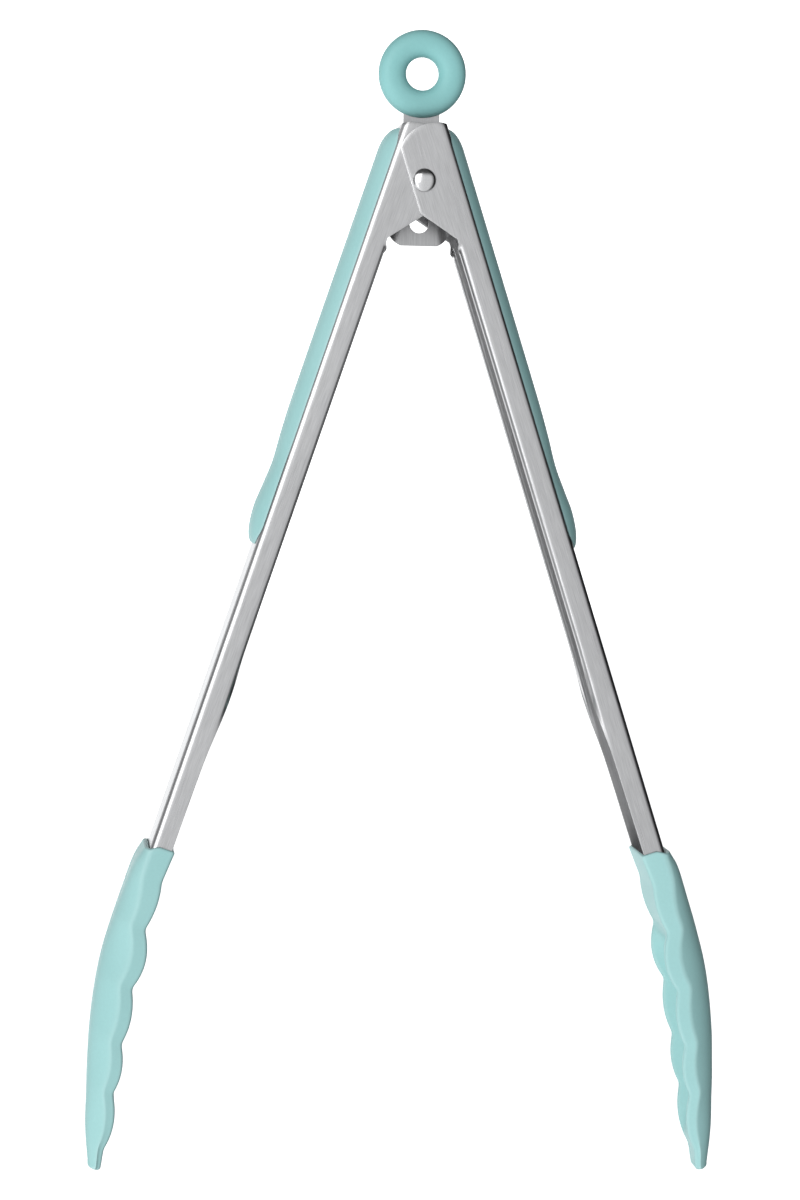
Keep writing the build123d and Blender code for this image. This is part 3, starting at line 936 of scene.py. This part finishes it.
def world_light():
    """A soft studio, bright from the front left.

    It darkens to the right, above and behind, save for a bright backdrop
    straight behind, and has a narrow dark gap at the far left.
    """
    world = bpy.data.worlds.new("studio")
    bpy.context.scene.world = world
    world.use_nodes = True
    nodes, links = world.node_tree.nodes, world.node_tree.links
    background = nodes["Background"]
    direction = nodes.new("ShaderNodeTexCoord").outputs["Generated"]
    parts = nodes.new("ShaderNodeSeparateXYZ")
    links.new(direction, parts.inputs[0])

    def band(value, low, high, to_low, to_high):
        found = nodes.new("ShaderNodeMapRange")
        found.interpolation_type = "SMOOTHSTEP"
        limits = {"From Min": low, "From Max": high, "To Min": to_low, "To Max": to_high}
        for key, number in limits.items():
            found.inputs[key].default_value = number
        links.new(value, found.inputs["Value"])
        return found.outputs["Result"]

    def combine(operation, a, b):
        found = nodes.new("ShaderNodeMath")
        found.operation = operation
        for key, value in enumerate((a, b)):
            if isinstance(value, bpy.types.NodeSocket):
                links.new(value, found.inputs[key])
            else:
                found.inputs[key].default_value = value
        return found.outputs[0]

    x, y, z = parts.outputs

    def level(x_share, y_share):
        return combine("ADD", combine("MULTIPLY", x, x_share), combine("MULTIPLY", y, y_share))

    room = band(level(*WORLD_RIGHTWARD), *WORLD_SIDE_BAND)
    behind = band(level(*WORLD_BACKWARD), *WORLD_BEHIND_BAND)
    above = band(z, *WORLD_TOP_BAND)
    left_gap = band(x, *WORLD_GAP_BAND)
    left_lift = band(x, *WORLD_LIFT_BAND)
    for share in (behind, above, left_gap, left_lift):
        room = combine("MULTIPLY", room, share)
    back_glow = band(y, *WORLD_GLOW_BAND)
    links.new(combine("ADD", room, back_glow), background.inputs["Strength"])
    background.inputs["Color"].default_value = WORLD_COLOUR


def area_light(name, target, offset, size, power):
    """A rectangle of light at an offset from the target it faces."""
    data = bpy.data.lights.new(name, "AREA")
    data.shape = "RECTANGLE"
    data.size, data.size_y = size
    data.energy = power
    light = bpy.data.objects.new(name, data)
    bpy.context.scene.collection.objects.link(light)
    place = Vector([t + o for t, o in zip(target, offset)])
    light.location = place
    light.rotation_euler = (target - place).to_track_quat("-Z", "Y").to_euler()


def only_seen(piece):
    """Seen by the camera, but it lights and shades nothing."""
    for ray in ("diffuse", "glossy", "transmission", "volume_scatter", "shadow"):
        setattr(piece, f"visible_{ray}", False)


def glow(name, colour, strength):
    """A plain material that shines with its own colour."""
    material = bpy.data.materials.new(name)
    material.use_nodes = True
    shader = material.node_tree.nodes["Principled BSDF"]
    shader.inputs["Base Color"].default_value = (*colour, 1)
    shader.inputs["Roughness"].default_value = 0.9
    shader.inputs["Emission Color"].default_value = (*colour, 1)
    shader.inputs["Emission Strength"].default_value = strength
    return material


def stage_pieces():
    """A pale floor under the tongs, inside a white dome."""
    low, high = cad_box
    level = low.z - FLOOR_DROP
    middle = (low + high) / 2
    floor = bpy.data.meshes.new("floor")
    rim = []
    for k in range(FLOOR_SIDES):
        a = math.tau * k / FLOOR_SIDES
        rim.append(
            (middle.x + FLOOR_RADIUS * math.cos(a), middle.y + FLOOR_RADIUS * math.sin(a), level)
        )
    floor.from_pydata(rim, [], [tuple(range(FLOOR_SIDES))])
    floor_piece = bpy.data.objects.new("floor", floor)
    dome = bpy.data.meshes.new("dome")
    work = bmesh.new()
    bmesh.ops.create_uvsphere(work, u_segments=48, v_segments=24, radius=DOME_RADIUS)
    work.to_mesh(dome)
    work.free()
    dome.transform(Matrix.Translation(middle))
    dome_piece = bpy.data.objects.new("dome", dome)
    for piece, tone in ((floor_piece, "pale_floor"), (dome_piece, "white_dome")):
        bpy.context.scene.collection.objects.link(piece)
        piece.data.materials.append(glow(tone, (STAGE_TONE,) * 3, 1.0 / STAGE_TONE))
        only_seen(piece)


def make_camera():
    yaw, pitch, roll = (math.radians(a) for a in (CAMERA_YAW, CAMERA_PITCH, CAMERA_ROLL))
    level = math.cos(pitch)
    ahead = Vector((math.sin(yaw) * level, math.cos(yaw) * level, math.sin(pitch)))
    right = Vector((math.cos(yaw), -math.sin(yaw), 0))
    up = right.cross(ahead)
    right, up = (
        math.cos(roll) * right + math.sin(roll) * up,
        math.cos(roll) * up - math.sin(roll) * right,
    )
    data = bpy.data.cameras.new("camera")
    data.lens = CAMERA_LENS
    data.sensor_width = CAMERA_SENSOR
    data.clip_start, data.clip_end = CAMERA_CLIP
    camera = bpy.data.objects.new("camera", data)
    bpy.context.scene.collection.objects.link(camera)
    turn = Matrix((right, up, -ahead)).transposed().to_4x4()
    camera.matrix_world = Matrix.Translation(CAMERA_PLACE) @ turn
    bpy.context.scene.camera = camera


# ------------------------------------------------------------------ assembly

PLACES = {side: arm_place(side) for side in SIDES}
OPEN_TURN = math.acos(clamp(PLACES["right"].to_3x3()[0][0], -1, 1))

TEAL = (0.37, 0.645, 0.64)
TEAL_DARK = (0.35, 0.625, 0.62)
RING_TEAL = (0.27, 0.57, 0.565)
RING_TEAL_DARK = (0.25, 0.55, 0.545)

plate_look = steel("plate_steel", (0.42, 0.42, 0.425), (0.30, 0.40))
rivet_look = steel("rivet_steel", (0.68, 0.68, 0.685), (0.14, 0.20), grain=0.3)
pin_look = steel("pin_steel", (0.6, 0.6, 0.605), (0.2, 0.28), streak=(1, 30, 1), grain=0.4)
wire_look = steel("spring_steel", (0.42, 0.42, 0.43), (0.25, 0.35), grain=0.5)
tip_look = silicone("tip_silicone", TEAL, TEAL_DARK, (0.42, 0.52))
grip_look = silicone("soft_grip", TEAL, TEAL_DARK, (0.45, 0.55))
ring_look = silicone("ring_rubber", RING_TEAL, RING_TEAL_DARK, (0.40, 0.50))
insert_look = nylon("insert_nylon", (0.75, 0.76, 0.75))
core_look = nylon("core_nylon", (0.08, 0.08, 0.085))
spacer_look = nylon("spacer_nylon", (0.82, 0.82, 0.8))

CAD_LOOKS = {
    "lock_plate": plate_look,
    "pivot_sleeve": rivet_look,
    "plate_spacers": spacer_look,
}
for side in SIDES:
    CAD_LOOKS[f"{side}_grip_insert"] = insert_look
    CAD_LOOKS[f"{side}_tip_core"] = core_look
    CAD_LOOKS[f"{side}_tip_pin"] = pin_look
for node, look in CAD_LOOKS.items():
    piece = frame["nodes"][node]
    piece.data.materials.clear()
    piece.data.materials.append(look)

for side in SIDES:
    body = f"{side}_arm"
    place = PLACES[side]
    turn = -OPEN_TURN if side == "right" else OPEN_TURN
    arm_steel = steel(f"{side}_arm_steel", (0.545, 0.545, 0.55), (0.27, 0.36), turn)
    for piece, look, slot, node in (
        (arm_object(f"{side}_steel_arm"), arm_steel, "arm_steel", f"{side}_arm"),
        (tip_object(f"{side}_tip_skin"), tip_look, "tip_silicone", f"{side}_silicone_tip"),
        (grip_object(f"{side}_grip_pad"), grip_look, "soft_grip", f"{side}_grip"),
    ):
        finish_piece(piece, place, body, look, slot, node)

STILL = Matrix.Identity(4)
ring, rivet = ring_object("soft_ring"), rivet_object("domed_rivet")
finish_piece(ring, STILL, "lock_slider", ring_look, "ring_rubber", "pull_ring")
finish_piece(rivet, STILL, "pivot", rivet_look, "rivet_steel", "pivot_rivet")
coil, legs = spring_paths()
spring = wire("spring_coil", coil)
finish_piece(spring, STILL, "pivot", wire_look, "spring_steel", "torsion_spring")
for side, path in legs.items():
    leg = wire(f"spring_{side}_leg", path)
    leg.data.materials.append(wire_look)
    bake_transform(leg)

bpy.context.scene.view_settings.view_transform = "Standard"
world_light()
low, high = cad_box
middle = (low + high) / 2
area_light("key_light", middle, *KEY_LIGHT)
area_light("left_strip", middle, *LEFT_STRIP)
stage_pieces()
make_camera()
